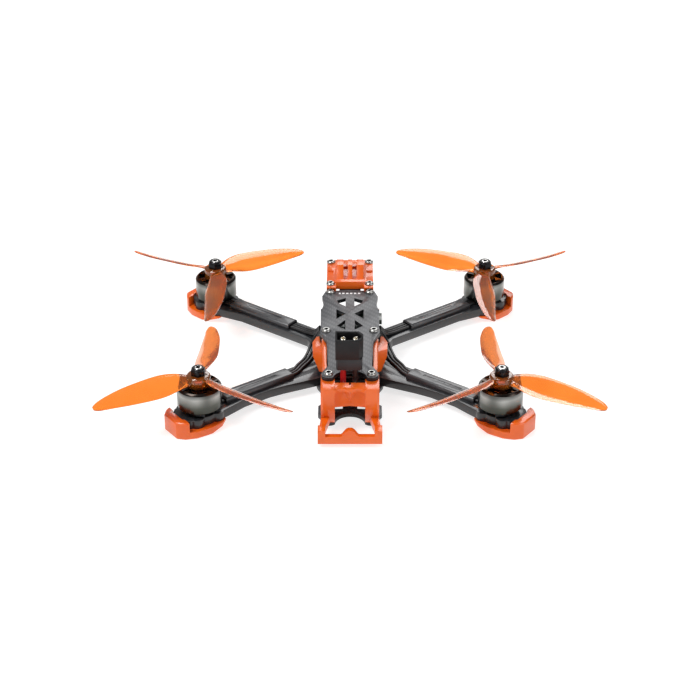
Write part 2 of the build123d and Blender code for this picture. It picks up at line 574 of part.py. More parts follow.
def bell():
    can = disc(BELL_R, BELL_LOW, BELL_HIGH)
    can = soften(can, can.faces().sort_by(Axis.Z)[-1].edges(), 1.2)
    can = soften(can, can.faces().sort_by(Axis.Z)[0].edges(), 0.4)
    can -= disc(BELL_R - BELL_WALL, BELL_LOW, 25.4)
    for k in range(6):
        window = slab([(7.0, -2.1), (11.2, -3.9), (11.2, 3.9), (7.0, 2.1)], 25.0, BELL_HIGH)
        can -= Rot(0, 0, 60 * k) * window
    shaft = disc(SHAFT_R, Z_MID + 0.6, 25.6) + disc(3.2, 24.7, 25.6)
    stub = disc(STUB_R, BELL_HIGH - 0.1, STUB_TOP)
    stub = soften(stub, stub.faces().sort_by(Axis.Z)[-1].edges(), 0.5)
    stub -= disc(1.2, STUB_TOP - 2.5, STUB_TOP)
    shapes = [can + shaft + stub]
    arc = 360 / MAGNETS
    ring = disc(BELL_R - BELL_WALL - 0.05, 15.0, 23.2) - disc(11.25, 15.0, 23.2)
    half = radians(arc * 0.44)
    for k in range(MAGNETS):
        wedge = slab([(0, 0), (14 * cos(half), -14 * sin(half)), (14 * cos(half), 14 * sin(half))], 15.0, 23.2)
        shapes.append(ring & (Rot(0, 0, arc * k) * wedge))
    return shapes


# Blade stations: distance out, leading edge (side, height), trailing edge (side, height), thickness.
BLADE = [
    (5.5, (3.6, 33.4), (-3.0, 29.4), 2.6),
    (12.0, (7.0, 34.2), (-3.6, 29.2), 1.9),
    (20.0, (9.2, 34.4), (-4.6, 27.8), 1.6),
    (30.0, (9.4, 34.0), (-4.6, 27.2), 1.4),
    (40.0, (8.9, 33.2), (-3.8, 27.2), 1.25),
    (50.0, (7.6, 32.2), (-3.0, 27.6), 1.1),
    (58.0, (5.6, 31.2), (-2.4, 28.0), 1.0),
    (63.0, (3.6, 30.4), (-2.0, 28.4), 0.8),
    (65.6, (1.4, 29.8), (-0.9, 29.0), 0.5),
]


def blade(turn):
    """One blade along +x; turn is +1 for a rotor that turns counter-clockwise from above."""
    sections = []
    for out, (side0, z0), (side1, z1), thick in BLADE:
        lead, trail = Vector(out, turn * side0, z0), Vector(out, turn * side1, z1)
        across = (lead - trail).normalized()
        up = Vector(0, -across.Z, across.Y) * turn
        middle = (lead + trail) * 0.5 + up * (0.045 * (lead - trail).length)
        upper = ThreePointArc(lead, middle + up * (thick / 2), trail)
        lower = ThreePointArc(trail, middle - up * (thick / 2), lead)
        sections.append(make_face([upper.edge(), lower.edge()]))
    return loft(sections)


def propeller(turn, first):
    hub = disc(HUB_R, BELL_HIGH, HUB_TOP)
    hub = soften(hub, hub.faces().sort_by(Axis.Z)[-1].edges(), 0.8)
    shape = hub
    for k in range(3):
        shape += Rot(0, 0, first + 120 * k) * blade(turn)
    return shape - disc(STUB_R + THREAD_GAP, BELL_HIGH - 1, HUB_TOP + 1)


def prop_nut():
    nut = Pos(0, 0, HUB_TOP) * hexagon(NUT_FLATS / 2, 3.6)
    nut += disc(3.7, HUB_TOP + 3.6, STUB_TOP - 0.1)
    nut = soften(nut, nut.faces().sort_by(Axis.Z)[-1].edges(), 0.5)
    return nut - disc(STUB_R + THREAD_GAP, HUB_TOP, STUB_TOP)


def save_motors():
    plain_base, plain_stator, plain_winding, plain_bearings, plain_bell = (
        motor_base(), stator(), winding(), bearings(), bell())
    stators, windings, races = [], [], []
    for name, (sx, sy) in CORNERS.items():
        here = Pos(sx * MOTOR_X, sy * MOTOR_Y, 0)
        spin = local(sx, sy).orientation.Z
        save(f"motor_base_{name}", here * Rot(0, 0, spin) * plain_base)
        stators.append(here * plain_stator)
        windings.append(here * plain_winding)
        races += [here * race for race in plain_bearings]
        save(f"motor_bell_{name}", [here * piece for piece in plain_bell])
        first, turn = ROTORS[name]
        save(f"propeller_{name}", here * propeller(turn, first))
        save(f"prop_nut_{name}", here * Rot(0, 0, first) * prop_nut())
    save("stators", stators)
    save("stator_windings", windings)
    save("motor_bearings", races)


# ---------------------------------------------------------------- nose camera
def save_camera():
    half = CAMERA_HALF
    body = block(-half, half, CAMERA_Y - 5, CAMERA_Y + 5, CAMERA_Z - half, CAMERA_Z + half)
    body = soften(body, body.edges().filter_by(Axis.X), 1.6)
    inner = NOSE_X - NOSE_THICK / 2 - 0.15
    for s in (-1, 1):
        body += rod(2.6, (s * (half - 0.5), CAMERA_Y, CAMERA_Z), (s * inner, CAMERA_Y, CAMERA_Z))
        body -= rod(1.0, (s * (half - 0.5), CAMERA_Y, CAMERA_Z), (s * (inner + 1), CAMERA_Y, CAMERA_Z))
    save("fpv_camera", body)
    lens = rod(4.5, (0, CAMERA_Y + 5, CAMERA_Z), (0, CAMERA_Y + 10, CAMERA_Z))
    lens = soften(lens, lens.faces().sort_by(Axis.Y)[-1].edges(), 0.6)
    lens -= rod(3.2, (0, CAMERA_Y + 8.8, CAMERA_Z), (0, CAMERA_Y + 10.1, CAMERA_Z))
    save("camera_lens", lens)
    outer = NOSE_X + NOSE_THICK / 2 + 0.15 - CAMERA_SCREW_DEEP
    shank, head = outer - half + 0.5, 1.3
    screw = disc(0.99, -shank, 0) + disc(1.9, 0, head) - disc(0.75, head - 0.7, head)
    right = Location((outer, CAMERA_Y, CAMERA_Z), (0, 90, 0)) * screw
    save("camera_screws", both(right))


# ---------------------------------------------------------------- battery connector and its leads
XT_AXIS = Vector(0, -sin(radians(XT_LEAN)), cos(radians(XT_LEAN)))
XT_COVER_HIGH, XT_HIGH = 9.0, 24.6
XT_HALF_X, XT_HALF_Y = 8.0, 4.05


def save_connector():
    frame = Plane(origin=XT_BASE, x_dir=(1, 0, 0), z_dir=XT_AXIS)
    low = block(-7.6, 7.6, -3.8, 3.8, 0, XT_COVER_HIGH)
    low = soften(low, low.edges().filter_by(Axis.Z), 1.0)
    low -= disc(LEAD_D / 2 + 0.02, 0, 3.0, -LEAD_X, 0)
    low -= disc(LEAD_D / 2 + 0.02, 0, 3.0, LEAD_X, 0)
    save("xt60_cover", frame * low)
    notch = 2.4
    outline = [(-XT_HALF_X, -XT_HALF_Y), (XT_HALF_X - notch, -XT_HALF_Y), (XT_HALF_X, -XT_HALF_Y + notch)]
    outline += [(XT_HALF_X, XT_HALF_Y - notch), (XT_HALF_X - notch, XT_HALF_Y), (-XT_HALF_X, XT_HALF_Y)]
    body = slab(outline, XT_COVER_HIGH, XT_HIGH)
    wall, floor = 1.05, XT_COVER_HIGH + 7.0
    inner = [(x - wall * (1 if x > 0 else -1), y - wall * (1 if y > 0 else -1)) for x, y in outline]
    body -= slab(inner, floor, XT_HIGH)
    pins = []
    for s in (-1, 1):
        pin = disc(1.75, XT_COVER_HIGH, XT_HIGH - 1.4, 3.6 * s, 0)
        pin = soften(pin, pin.faces().sort_by(Axis.Z)[-1].edges(), 0.5)
        pin -= disc(0.8, XT_HIGH - 4.4, XT_HIGH - 1.4, 3.6 * s, 0)
        body -= disc(1.77, XT_COVER_HIGH, floor, 3.6 * s, 0)
        pins.append(frame * pin)
    save("xt60_housing", frame * body)
    save("xt60_pins", pins)
    route = [(-18.0, 20.8), (-34.0, 19.0), (-50.0, 17.4), (-62.0, 19.0), (-71.0, 29.5)]
    for along in (-4.0, 3.0):
        point = Vector(*XT_BASE) + XT_AXIS * along
        route.append((point.Y, point.Z))
    for name, s in (("red", -1), ("black", 1)):
        points = [(s * LEAD_X + XT_BASE[0], y, z) for y, z in route]
        lead, radii, length = tube(points, LEAD_D)
        print(f"battery lead {name}: length {length:.1f}, radii {[round(r, 1) for r in radii]}, "
              f"volume {lead.volume:.1f} against {pi * LEAD_D ** 2 / 4 * length:.1f}")
        save(f"battery_lead_{name}", lead)


# ---------------------------------------------------------------- all of it
save("bottom_plate", bottom_plate())
save("mid_plate", mid_plate())
save("top_plate", top_plate())
save_arms()
save("motor_wires", motor_wires())
save("standoffs", standoffs())
for label, piece in zip(("right", "left"), both(nose_plate())):
    save(f"camera_side_plate_{label}", piece)
save("front_mount", front_mount())
for label, piece in zip(("right", "left"), both(side_panel())):
    save(f"side_panel_{label}", piece)
save("tail_mount", tail_mount())
save_screws()
save_electronics()
save_motors()
save_camera()
save_connector()
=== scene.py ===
"""Looks of the racing drone: materials, rounded edges, screws, stator coils and battery leads."""
import json
from math import cos, pi, radians, sin, tau

import bmesh
import bpy
from mathutils import Matrix, Vector


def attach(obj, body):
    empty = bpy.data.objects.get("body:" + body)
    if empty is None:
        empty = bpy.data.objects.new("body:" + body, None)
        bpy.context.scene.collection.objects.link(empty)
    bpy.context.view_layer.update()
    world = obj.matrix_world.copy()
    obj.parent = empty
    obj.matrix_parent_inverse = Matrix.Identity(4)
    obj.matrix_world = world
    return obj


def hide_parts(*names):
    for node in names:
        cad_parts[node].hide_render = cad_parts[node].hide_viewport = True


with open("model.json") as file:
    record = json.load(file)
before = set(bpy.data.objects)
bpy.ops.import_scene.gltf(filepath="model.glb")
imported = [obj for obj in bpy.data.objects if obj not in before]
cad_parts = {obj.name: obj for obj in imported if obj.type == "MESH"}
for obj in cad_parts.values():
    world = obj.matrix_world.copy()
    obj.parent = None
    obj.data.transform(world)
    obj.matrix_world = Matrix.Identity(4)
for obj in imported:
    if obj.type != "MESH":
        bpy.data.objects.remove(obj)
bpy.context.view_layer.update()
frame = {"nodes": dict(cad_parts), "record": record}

MM = 0.001
ORIGIN = (0.0, 0.0, 0.0)
# Places in millimetres: the motors' axes, and the heights on which the screw heads rest.
MOTOR_X, MOTOR_Y = 88.5, 69.45
PLATE_TOP, MOUNT_TOP, PLATE_BELOW = 35.0, 37.9, 2.5
# Studio: glow and sky strengths, metres, degrees below level, and the lens in millimetres.
FLOOR_GLOW, SKY, FLOOR_HALF = 0.72, 0.30, 6.0
CAMERA_PLACE, CAMERA_DOWN, LENS = (0.0, -0.896, 0.5198), 29.6, 84.5
CORNERS = ("front_left", "front_right", "rear_left", "rear_right")
NODES = frame["nodes"]
BODY_OF = {n: b for b, group in frame["record"]["behaviour"]["bodies"].items() for n in group}
SLOT_OF = {s["node"]: s["material_slot"] for s in frame["record"]["subparts"]}


# ---------------------------------------------------------------- node helpers
class Shader:
    """A material with one Principled shader and short calls for the nodes that feed it."""

    def __init__(self, name, **sockets):
        self.material = bpy.data.materials.new(name)
        self.material.use_nodes = True
        self.tree = self.material.node_tree
        self.bsdf = self.tree.nodes["Principled BSDF"]
        for socket, value in sockets.items():
            self.bsdf.inputs[socket.replace("_", " ")].default_value = value
        self.place = self.new("ShaderNodeTexCoord").outputs["Object"]

    def new(self, kind, **settings):
        node = self.tree.nodes.new(kind)
        for key, value in settings.items():
            setattr(node, key, value)
        return node

    def feed(self, socket, value):
        if isinstance(value, bpy.types.NodeSocket):
            self.tree.links.new(value, socket)
        else:
            socket.default_value = value

    def math(self, operation, a, b=0.0, c=0.0):
        node = self.new("ShaderNodeMath", operation=operation)
        for socket, value in zip(node.inputs, (a, b, c)):
            self.feed(socket, value)
        return node.outputs[0]

    def split(self, vector):
        node = self.new("ShaderNodeSeparateXYZ")
        self.feed(node.inputs[0], vector)
        return node.outputs

    def noise(self, scale, detail=3.0, vector=None, rough=0.5):
        node = self.new("ShaderNodeTexNoise")
        self.feed(node.inputs["Vector"], vector or self.place)
        node.inputs["Scale"].default_value = scale
        node.inputs["Detail"].default_value = detail
        node.inputs["Roughness"].default_value = rough
        return node.outputs["Fac"]

    def stretched(self, x, y, z):
        node = self.new("ShaderNodeMapping")
        self.feed(node.inputs["Vector"], self.place)
        node.inputs["Scale"].default_value = (x, y, z)
        return node.outputs[0]

    def ramp(self, factor, *stops):
        node = self.new("ShaderNodeValToRGB")
        self.feed(node.inputs[0], factor)
        elements = node.color_ramp.elements
        while len(elements) < len(stops):
            elements.new(0.5)
        for element, (at, colour) in zip(elements, stops):
            element.position = at
            element.color = tuple(colour) + (1.0,) if len(colour) == 3 else colour
        return node.outputs[0]

    def mix(self, factor, a, b):
        node = self.new("ShaderNodeMix", data_type="RGBA")
        self.feed(node.inputs["Factor"], factor)
        self.feed(node.inputs["A"], a if isinstance(a, bpy.types.NodeSocket) else tuple(a) + (1.0,))
        self.feed(node.inputs["B"], b if isinstance(b, bpy.types.NodeSocket) else tuple(b) + (1.0,))
        return node.outputs["Result"]

    def spread(self, factor, low, high):
        node = self.new("ShaderNodeMapRange")
        self.feed(node.inputs["Value"], factor)
        node.inputs["To Min"].default_value = low
        node.inputs["To Max"].default_value = high
        return node.outputs[0]

    def bump(self, height, distance, strength=1.0, after=None):
        node = self.new("ShaderNodeBump")
        self.feed(node.inputs["Height"], height)
        node.inputs["Distance"].default_value = distance
        node.inputs["Strength"].default_value = strength
        if after is not None:
            self.feed(node.inputs["Normal"], after)
        return node.outputs[0]

    def upward(self):
        """1 where the surface is level, 0 where it stands upright."""
        geometry = self.new("ShaderNodeNewGeometry")
        return self.math("ABSOLUTE", self.split(geometry.outputs["Normal"])[2])

    def twill(self, one, other):
        """Tows crossing two over two: where the first set is on top, and the crown of whichever is."""
        step = self.math("ADD", self.math("FLOOR", one), self.math("FLOOR", other))
        over = self.math("LESS_THAN", self.math("FLOORED_MODULO", step, 4.0), 2.0)
        crown_one = self.math("SINE", self.math("MULTIPLY", self.math("FRACT", one), pi))
        crown_other = self.math("SINE", self.math("MULTIPLY", self.math("FRACT", other), pi))
        crown = self.math("ADD", self.math("MULTIPLY", over, crown_one),
                          self.math("MULTIPLY", self.math("SUBTRACT", 1.0, over), crown_other))
        return over, crown

    def with_cut_edges(self, face, z, layer, dark, light):
        """The given colour on level faces, and thin layers on the sides."""
        layers = self.math("SINE", self.math("MULTIPLY", z, tau / layer))
        edge = self.ramp(self.spread(layers, 0.0, 1.0), (0.0, dark), (1.0, light))
        return self.mix(self.math("GREATER_THAN", self.upward(), 0.6), edge, face)

    def set(self, socket, value):
        self.feed(self.bsdf.inputs[socket], value)


# ---------------------------------------------------------------- materials
def carbon_material():
    """Twill-woven carbon with painted sheen on its tows; cut edges show dark layers, and the top plate has
    two rows of white dashes.
    """
    s = Shader("carbon_twill", Specular_IOR_Level=0.3, Coat_Weight=0.12, Coat_Roughness=0.25)
    tow = 1.3 * MM
    x, y, z = s.split(s.place)
    over, crown = s.twill(s.math("DIVIDE", x, tow), s.math("DIVIDE", y, tow))
    fibres = s.noise(900.0, 2.0, s.stretched(1.0, 6.0, 1.0))
    # Painted sheen: tows lying one way are lighter and each tow is lighter along its crown, standing in for
    # the fibres' reflection; the fibre noise is the carbon's own tone.
    tone = s.math("ADD", s.math("MULTIPLY", over, 0.35), s.math("MULTIPLY", crown, 0.45))
    tone = s.math("ADD", tone, s.math("MULTIPLY", fibres, 0.2))
    face = s.ramp(tone, (0.0, (0.030, 0.031, 0.034)), (1.0, (0.100, 0.102, 0.110)))
    weave = s.with_cut_edges(face, z, 0.45 * MM, (0.012, 0.012, 0.013), (0.030, 0.030, 0.032))
    on_top = s.math("GREATER_THAN", z, (PLATE_TOP - 0.5) * MM)
    for middle, half_long, half_wide, pitch in ((30.3, 7.0, 0.85, 2.5), (-64.6, 3.4, 0.40, 1.3)):
        in_row = s.math("LESS_THAN", s.math("ABSOLUTE", s.math("SUBTRACT", y, middle * MM)), half_wide * MM)
        in_row = s.math("MULTIPLY", in_row, s.math("LESS_THAN", s.math("ABSOLUTE", x), half_long * MM))
        dash = s.math("LESS_THAN", s.math("FRACT", s.math("DIVIDE", x, pitch * MM)), 0.6)
        white = s.math("MULTIPLY", s.math("MULTIPLY", in_row, dash), on_top)
        weave = s.mix(white, weave, (0.80, 0.80, 0.80))
    s.set("Base Color", weave)
    s.set("Roughness", s.spread(s.noise(60.0), 0.34, 0.48))
    s.set("Normal", s.bump(crown, 0.05 * MM, 0.6))
    return s.material


def arm_material():
    """The arms: darker carbon with its weave at 45 degrees, painted sheen on its tows, and a glossier skin
    than the plates.
    """
    s = Shader("arm_carbon", Specular_IOR_Level=0.35, Coat_Weight=0.4, Coat_Roughness=0.12)
    pitch = 2.24 * MM
    x, y, z = s.split(s.place)
    over, crown = s.twill(s.math("DIVIDE", s.math("ADD", x, y), pitch),
                          s.math("DIVIDE", s.math("SUBTRACT", x, y), pitch))
    # Painted sheen: tows lying one way are lighter and each tow is lighter along its crown, standing in for
    # the fibres' reflection.
    tone = s.math("ADD", s.math("MULTIPLY", over, 0.4), s.math("MULTIPLY", crown, 0.6))
    face = s.ramp(tone, (0.0, (0.009, 0.010, 0.012)), (1.0, (0.030, 0.032, 0.037)))
    s.set("Base Color", s.with_cut_edges(face, z, 0.5 * MM, (0.010, 0.010, 0.011), (0.028, 0.028, 0.030)))
    s.set("Roughness", s.spread(s.noise(80.0), 0.26, 0.40))
    s.set("Normal", s.bump(crown, 0.03 * MM, 0.5))
    return s.material


def tpu_material():
    """Printed soft plastic: fine layer lines, a satin skin and a little light inside."""
    s = Shader("tpu_orange", Coat_Weight=0.45, Coat_Roughness=0.14, Subsurface_Weight=0.10,
               Specular_IOR_Level=0.35)
    s.bsdf.inputs["Subsurface Radius"].default_value = (1.0, 0.35, 0.1)
    s.bsdf.inputs["Subsurface Scale"].default_value = 2.0 * MM
    z = s.split(s.place)[2]
    layers = s.math("SINE", s.math("MULTIPLY", z, tau / (0.3 * MM)))
    cloud = s.noise(45.0, 4.0)
    s.set("Base Color", s.ramp(cloud, (0.25, (0.70, 0.096, 0.003)), (0.75, (0.83, 0.138, 0.006))))
    s.set("Roughness", s.spread(s.noise(160.0), 0.28, 0.42))
    grain = s.bump(s.noise(1400.0, 2.0), 0.02 * MM, 0.4)
    s.set("Normal", s.bump(layers, 0.02 * MM, 0.35, after=grain))
    return s.material


def propeller_material():
    """Translucent orange polycarbonate."""
    s = Shader("prop_orange", IOR=1.40, Transmission_Weight=0.85, Coat_Weight=0.5, Coat_Roughness=0.06)
    cloud = s.noise(30.0, 3.0)
    s.set("Base Color", s.ramp(cloud, (0.3, (0.95, 0.230, 0.020)), (0.7, (1.0, 0.290, 0.035))))
    s.set("Roughness", s.spread(s.noise(120.0), 0.06, 0.16))
    s.set("Normal", s.bump(s.noise(500.0, 2.0), 0.01 * MM, 0.3))
    return s.material


def plastic_material(name, low, high, rough, coat=0.0, shine=0.5):
    """Moulded plastic or rubber: a clouded colour between two tones, and a fine grain."""
    s = Shader(name, Coat_Weight=coat, Specular_IOR_Level=shine)
    s.set("Base Color", s.ramp(s.noise(70.0, 4.0), (0.3, low), (0.7, high)))
    s.set("Roughness", s.spread(s.noise(220.0), *rough))
    s.set("Normal", s.bump(s.noise(1200.0, 2.0), 0.02 * MM, 0.4))
    return s.material


def metal_material(name, low, high, rough=(0.20, 0.34), lines=(1.0, 1.0, 1.0), depth=0.01):
    """Metal between two tones, with fine streaks; a larger value in lines packs them closer on that axis."""
    s = Shader(name, Metallic=1.0)
    streaks = s.noise(900.0, 3.0, s.stretched(*lines))
    s.set("Base Color", s.ramp(s.noise(140.0, 3.0), (0.3, low), (0.7, high)))
    s.set("Roughness", s.spread(streaks, *rough))
    s.set("Normal", s.bump(streaks, depth * MM, 0.4))
    return s.material


def bell_material():
    """Turned side wall with painted shade at its foot, a painted highlight band high on it and painted dark
    bands around it; a dark top face, and a bare shaft end with a painted dark disc as the shade in its hole.
    """
    foot, wall_high, cap_from, shaft_from, hole = 14.0 * MM, 12.0 * MM, 26.2 * MM, 30.0 * MM, 1.35 * MM
    s = Shader("bell_metal", Metallic=1.0)
    turning = s.noise(2600.0, 2.0, s.stretched(0.03, 0.03, 1.0))
    x, y, z = s.split(s.place)
    # Painted shade at the foot of the wall and a painted highlight band high on it, dimming again at its
    # top.
    high = s.math("DIVIDE", s.math("SUBTRACT", z, foot), wall_high)
    high = s.math("ADD", high, s.math("MULTIPLY", s.math("SUBTRACT", s.noise(60.0), 0.5), 0.3))
    wall = s.ramp(high, (0.0, (0.030, 0.032, 0.025)), (0.35, (0.10, 0.104, 0.090)),
                  (0.8, (0.40, 0.40, 0.38)), (1.0, (0.16, 0.16, 0.155)))
    out_x = s.math("SUBTRACT", s.math("ABSOLUTE", x), MOTOR_X * MM)
    out_y = s.math("SUBTRACT", s.math("ABSOLUTE", y), MOTOR_Y * MM)
    # Painted shade: dark bands around the wall, set by the angle about the motor's axis.
    side = s.math("ARCTAN2", out_y, out_x)
    shade_bands = s.math("ADD", s.math("SINE", s.math("MULTIPLY", side, 4.0)),
                   s.math("SINE", s.math("MULTIPLY", side, 7.0)))
    shadow = s.spread(s.math("MULTIPLY", s.math("ADD", shade_bands, 2.0), 0.25), 0.0, 0.75)
    wall = s.mix(shadow, wall, (0.060, 0.062, 0.055))
    cap = s.ramp(s.noise(90.0), (0.3, (0.022, 0.018, 0.016)), (0.7, (0.050, 0.040, 0.034)))
    top = s.math("GREATER_THAN", z, cap_from)
    end = s.math("GREATER_THAN", z, shaft_from)
    # Painted shade: a near-black disc on the flat shaft end where its hole is.
    out = s.math("SQRT", s.math("ADD", s.math("MULTIPLY", out_x, out_x), s.math("MULTIPLY", out_y, out_y)))
    shaft = s.mix(s.math("LESS_THAN", out, hole), (0.62, 0.61, 0.59), (0.010, 0.010, 0.010))
    s.set("Base Color", s.mix(end, s.mix(top, wall, cap), shaft))
    s.set("Roughness", s.spread(turning, 0.16, 0.28))
    s.set("Normal", s.bump(turning, 0.01 * MM, 0.35))
    return s.material


def board_material():
    """Lacquered circuit board with faint tracks."""
    s = Shader("board", Coat_Weight=0.4, Coat_Roughness=0.15)
    voronoi = s.new("ShaderNodeTexVoronoi", feature="DISTANCE_TO_EDGE")
    s.feed(voronoi.inputs["Vector"], s.place)
    voronoi.inputs["Scale"].default_value = 700.0
    tracks = s.math("LESS_THAN", voronoi.outputs["Distance"], 0.06)
    s.set("Base Color", s.mix(tracks, (0.012, 0.020, 0.016), (0.030, 0.055, 0.040)))
    s.set("Roughness", s.spread(s.noise(150.0), 0.28, 0.42))
    return s.material


MATERIALS = {
    "carbon": carbon_material(),
    "arm": arm_material(),
    "tpu_orange": tpu_material(),
    "prop_orange": propeller_material(),
    "black_plastic": plastic_material("black_plastic", (0.030, 0.031, 0.034), (0.050, 0.051, 0.056),
                                      rough=(0.24, 0.36), coat=0.1),
    "aluminium": metal_material("aluminium", (0.30, 0.305, 0.31), (0.42, 0.425, 0.43), rough=(0.28, 0.42)),
    "steel": metal_material("steel", (0.36, 0.36, 0.35), (0.50, 0.50, 0.48), rough=(0.22, 0.34)),
    "black_steel": metal_material("black_steel", (0.018, 0.018, 0.019), (0.035, 0.035, 0.037),
                                  rough=(0.22, 0.34)),
    "bell_metal": bell_material(),
    "board": board_material(),
    "copper": metal_material("copper", (0.50, 0.20, 0.09), (0.72, 0.34, 0.17),
                             lines=(1.0, 1.0, 12.0), depth=0.05),
    "laminations": metal_material("laminations", (0.10, 0.10, 0.10), (0.18, 0.18, 0.18),
                                  lines=(1.0, 1.0, 30.0)),
    "wire_black": plastic_material("wire_black", (0.010, 0.010, 0.011), (0.022, 0.022, 0.024),
                                   rough=(0.30, 0.42)),
    "wire_red": plastic_material("wire_red", (0.42, 0.008, 0.012), (0.62, 0.020, 0.025), rough=(0.30, 0.42)),
    "rubber_black": plastic_material("rubber_black", (0.014, 0.014, 0.014), (0.028, 0.028, 0.028),
                                     rough=(0.55, 0.7)),
    "connector_dark": plastic_material("connector_dark", (0.005, 0.005, 0.006), (0.011, 0.011, 0.012),
                                       rough=(0.42, 0.55), shine=0.22),
    "connector_grey": plastic_material("connector_grey", (0.014, 0.014, 0.016), (0.026, 0.026, 0.029),
                                       rough=(0.40, 0.52), shine=0.3),
    # Painted shade: the near-black inside of the screws' hexagon sockets.
    "socket": plastic_material("socket_shadow", (0.004, 0.004, 0.004), (0.010, 0.010, 0.010),
                               rough=(0.6, 0.8)),
    "gold": metal_material("gold", (0.70, 0.66, 0.58), (0.85, 0.80, 0.70), rough=(0.15, 0.25)),
    "lens": plastic_material("lens_black", (0.010, 0.010, 0.014), (0.020, 0.020, 0.026),
                             rough=(0.05, 0.12), coat=1.0),
}


def dress(obj, material):
    obj.data.materials.clear()
    obj.data.materials.append(MATERIALS[material])


def look_of(node):
    """The node's material: its slot's own, except on the arms and the motor bases."""
    if node in [f"arm_{corner}" for corner in CORNERS]:
        return "arm"
    if node.startswith("motor_base"):
        return "black_steel"
    return SLOT_OF[node]


# ---------------------------------------------------------------- rounded copies of CAD nodes
def rounded(node, width):
    """Stands for a CAD node with the same shape, its sharp edges rounded off."""
    piece = bpy.data.objects.new(node + "_skin", NODES[node].data.copy())
    bpy.context.scene.collection.objects.link(piece)
    bm = bmesh.new()
    bm.from_mesh(piece.data)
    bmesh.ops.remove_doubles(bm, verts=bm.verts, dist=0.002 * MM)
    bmesh.ops.dissolve_limit(bm, angle_limit=radians(1.0), verts=bm.verts, edges=bm.edges)
    bm.to_mesh(piece.data)
    bm.free()
    bevel = piece.modifiers.new("edges", "BEVEL")
    bevel.width = width * MM
    bevel.segments = 2
    bevel.limit_method = "ANGLE"
    bevel.angle_limit = radians(34.0)
    apply_modifiers(piece)
    shade(piece, 40.0)
    dress(piece, look_of(node))
    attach(piece, BODY_OF[node])
    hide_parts(node)
    return piece


def apply_modifiers(obj):
    bpy.context.view_layer.update()
    evaluated = obj.evaluated_get(bpy.context.evaluated_depsgraph_get())
    mesh = bpy.data.meshes.new_from_object(evaluated)
    obj.modifiers.clear()
    obj.data = mesh


def shade(obj, angle):
    """Smooth shading that keeps edges sharper than the angle, in degrees."""
    for polygon in obj.data.polygons:
        polygon.use_smooth = True
    obj.data.set_sharp_from_angle(angle=radians(angle))


# ---------------------------------------------------------------- screws and coils
def new_piece(name, bm, materials, body, replaced):
    mesh = bpy.data.meshes.new(name)
    bm.to_mesh(mesh)
    bm.free()
    for material in materials:
        mesh.materials.append(MATERIALS[material])
    obj = bpy.data.objects.new(name, mesh)
    bpy.context.scene.collection.objects.link(obj)
    shade(obj, 35.0)
    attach(obj, body)
    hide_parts(replaced)


# Outlines of a screw in millimetres: distance from its axis, and height above the seat of its head.
BUTTON_HEAD = [(1.5, 0.0), (2.74, 0.0), (2.75, 0.35), (2.66, 0.85), (2.40, 1.25), (2.0, 1.54), (1.72, 1.64)]
HEXAGON = [(1.58, 1.60), (1.50, 1.50), (1.46, 0.56), (0.4, 0.50)]


def add_screw(bm, x, y, seat, length, up):
    """A button-head screw with a hexagon socket; seat is the height its head rests on, up is 1 or -1."""
    head = [(1.5, -length)] + BUTTON_HEAD
    turns, rings = 36, []
    for number, (r, z) in enumerate(head + HEXAGON):
        ring = []
        for k in range(turns):
            a = tau * k / turns
            out = r
            if number >= len(head):
                out = r * cos(pi / 6) / cos((a + pi / 6) % (pi / 3) - pi / 6)
            place = Vector((x + out * cos(a), y + up * out * sin(a), seat + up * z))
            ring.append(bm.verts.new(place * MM))
        rings.append(ring)
    for number, (low, high) in enumerate(zip(rings, rings[1:])):
        for k in range(turns):
            n = (k + 1) % turns
            face = bm.faces.new((low[k], low[n], high[n], high[k]))
            # Faces inside the socket take the second material, the painted shade.
            face.material_index = 1 if number >= len(head) + 1 else 0
    bm.faces.new(list(reversed(rings[0])))
    bm.faces.new(rings[-1]).material_index = 1
    bmesh.ops.recalc_face_normals(bm, faces=bm.faces)


def screws():
    """The pairs of screws in the plates and the mount: place, height of the head's seat, length."""
    above = [(12.5, -71.0, PLATE_TOP, 8.5), (14.5, -19.0, PLATE_TOP, 8.5), (12.4, 31.8, PLATE_TOP, 8.5),
             (12.4, 37.5, MOUNT_TOP, 8.9), (12.4, 68.5, MOUNT_TOP, 8.9)]
    below = [(14.5, -19.0, PLATE_BELOW, 16.0), (12.5, -71.0, PLATE_BELOW, 8.5),
             (12.4, 40.0, PLATE_BELOW, 16.0), (12.4, 66.0, PLATE_BELOW, 16.0)]
    for name, places, up in (("top_screws", above, 1), ("bottom_screws", below, -1)):
        bm = bmesh.new()
        for x, y, seat, length in places:
            for side in (-1, 1):
                add_screw(bm, side * x, y, seat, length, up)
        new_piece(name + "_skin", bm, (SLOT_OF[name], "socket"), "airframe", name)


def coils():
    """Wound teeth in each motor, each a row of flat turns of wire that widen outwards."""
    teeth, turns_of_wire, middle_z = 12, 5, 19.3
    bm = bmesh.new()
    for sx in (-1, 1):
        for sy in (-1, 1):
            motor = Matrix.Translation((sx * MOTOR_X * MM, sy * MOTOR_Y * MM, middle_z * MM))
            for k in range(teeth):
                here = motor @ Matrix.Rotation(tau / teeth * k, 4, "Z")
                for row in range(turns_of_wire):
                    out = Matrix.Translation(((7.45 + 0.5 * row) * MM, 0, 0))
                    size = Matrix.Diagonal((0.48 * MM, (2.7 + 0.24 * row) * MM, 9.6 * MM, 1.0))
                    bmesh.ops.create_cube(bm, size=1.0, matrix=here @ out @ size)
    node = "stator_windings"
    new_piece(node + "_skin", bm, ("copper",), "airframe", node)


